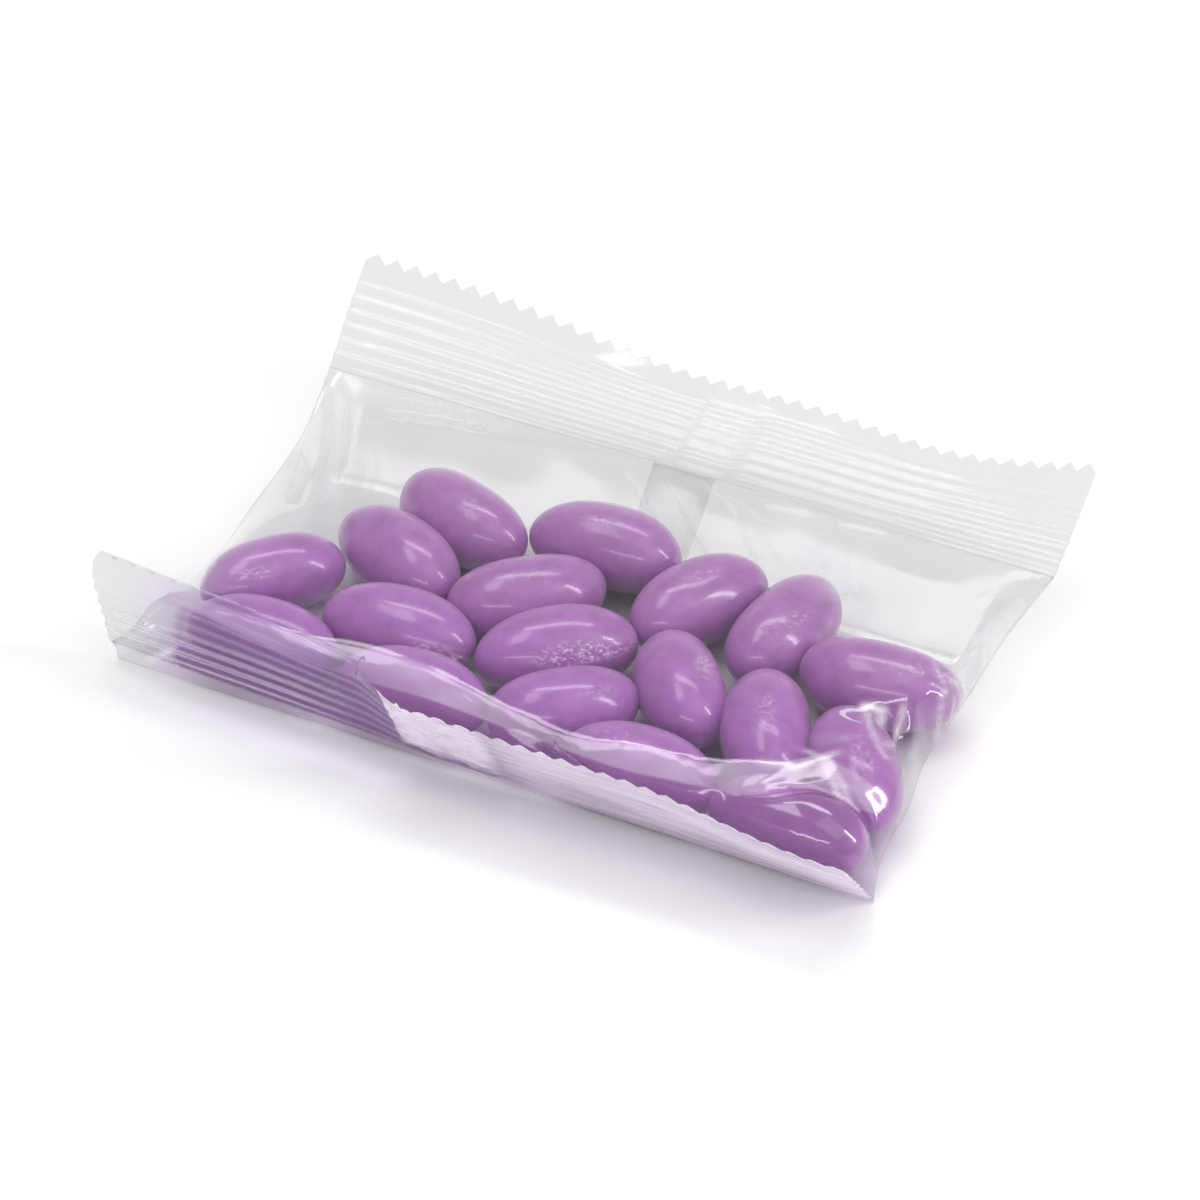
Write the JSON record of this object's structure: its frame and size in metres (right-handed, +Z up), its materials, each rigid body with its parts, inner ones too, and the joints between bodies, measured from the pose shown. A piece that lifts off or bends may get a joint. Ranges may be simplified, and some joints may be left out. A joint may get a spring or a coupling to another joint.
{
  "type": "clear bag of jelly beans",
  "caption": "Small clear film bag of purple jelly beans, lying flat, with a crimped and toothed seal along each end.",
  "frame": {"origin": "under the middle of the bag's box, on the surface that it lies on", "axes": "+X along the two seals, to the right seen from the near seal; +Y from the near seal, which is folded up, to the far one; +Z up from the table"},
  "size_m": [0.1, 0.0818, 0.0189],
  "materials": {
    "clear_film": "thin clear glossy film, slightly grey where two layers lie together",
    "candy_shell": "glossy purple sugar shell with a faint mottle"
  },
  "bodies": {
    "root": {"bag": "clear_film"}
  },
  "joints": []
}
